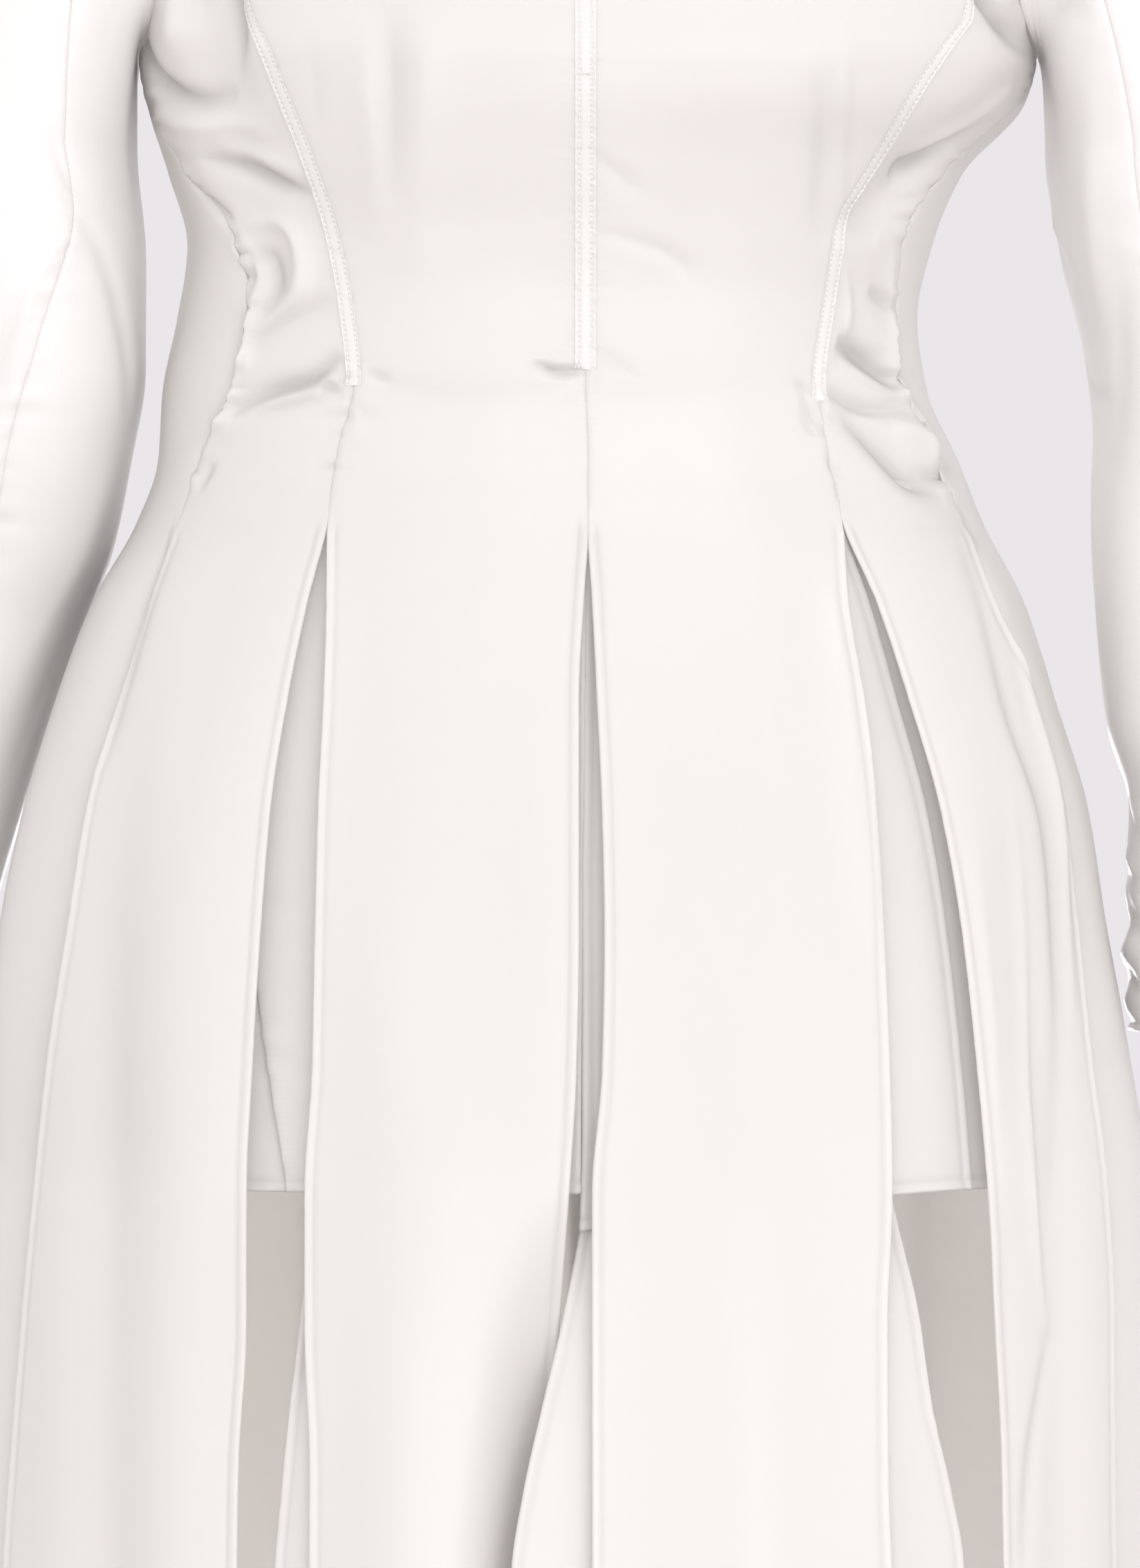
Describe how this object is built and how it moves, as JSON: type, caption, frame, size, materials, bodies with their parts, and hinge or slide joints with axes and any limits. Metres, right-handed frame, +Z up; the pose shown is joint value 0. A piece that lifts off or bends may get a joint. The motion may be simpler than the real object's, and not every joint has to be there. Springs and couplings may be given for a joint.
{
  "type": "long sleeve dress",
  "caption": "Long sleeve satin dress, filled out and hollow, with princess seams and a skirt of long panels parted by slits over a short underskirt.",
  "frame": {"origin": "middle of the shoulder line, between the two shoulders at the base of the neck, where a wearer or form holds the dress up", "axes": "+Z up towards the neck, +X towards the viewer's right, the front faces -Y"},
  "size_m": [0.638, 0.3505, 1.186],
  "materials": {
    "satin": "ivory satin with a soft liquid sheen",
    "tape": "ivory satin tape, stitched along both edges",
    "underskirt": "ivory satin of the inner layers"
  },
  "bodies": {
    "root": {"front_left_panel": "satin", "front_right_panel": "satin", "side_front_left_panel": "satin", "side_front_right_panel": "satin", "side_back_left_panel": "satin", "side_back_right_panel": "satin", "back_left_panel": "satin", "back_right_panel": "satin", "centre_seam_tape": "tape", "left_princess_tape": "tape", "right_princess_tape": "tape", "left_upper_sleeve": "satin", "left_under_sleeve": "satin", "right_upper_sleeve": "satin", "right_under_sleeve": "satin", "underskirt_front_left": "underskirt", "underskirt_front_right": "underskirt", "underskirt_side_left": "underskirt", "underskirt_side_right": "underskirt", "underskirt_back": "underskirt", "inner_panel_left": "underskirt", "inner_panel_centre": "underskirt", "inner_panel_right": "underskirt"}
  },
  "joints": []
}
